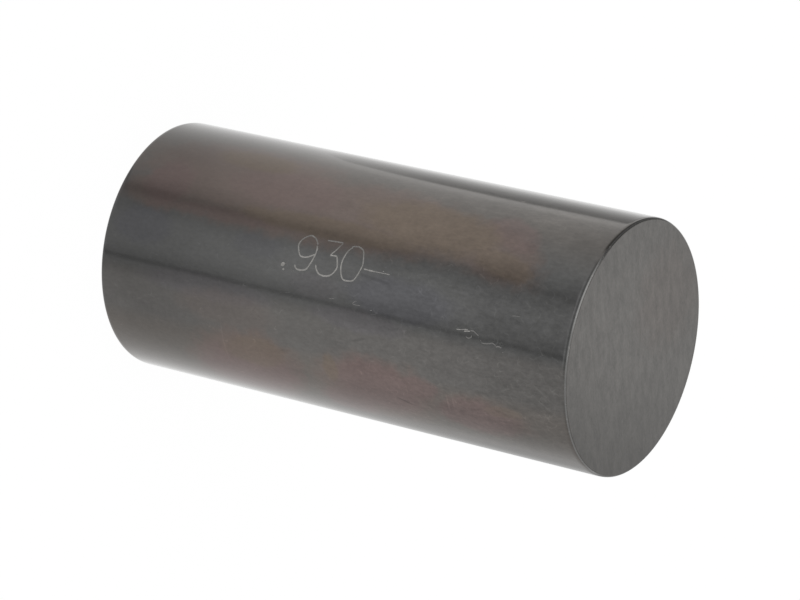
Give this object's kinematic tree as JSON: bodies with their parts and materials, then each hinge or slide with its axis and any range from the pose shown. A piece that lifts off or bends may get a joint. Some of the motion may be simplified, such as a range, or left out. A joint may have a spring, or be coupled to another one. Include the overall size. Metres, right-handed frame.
{
  "type": "pin gauge",
  "caption": "Plain cylindrical pin gauge: a blackened ground steel pin with flat ends and broken edges, pushed into a hole to check its size.",
  "frame": {"origin": "centre of the rest end, on the plane that the gauge stands on", "axes": "+Z along the pin's axis, from the rest end to the free end; X and Y are equal because the pin is round, and -Y is the side that carries the size number in the visual model"},
  "size_m": [0.0236, 0.0236, 0.0508],
  "materials": {
    "blackened_steel": "black oxide over a fine ground surface, with brown temper patches"
  },
  "bodies": {
    "root": {"gauge_pin": "blackened_steel"}
  },
  "joints": []
}
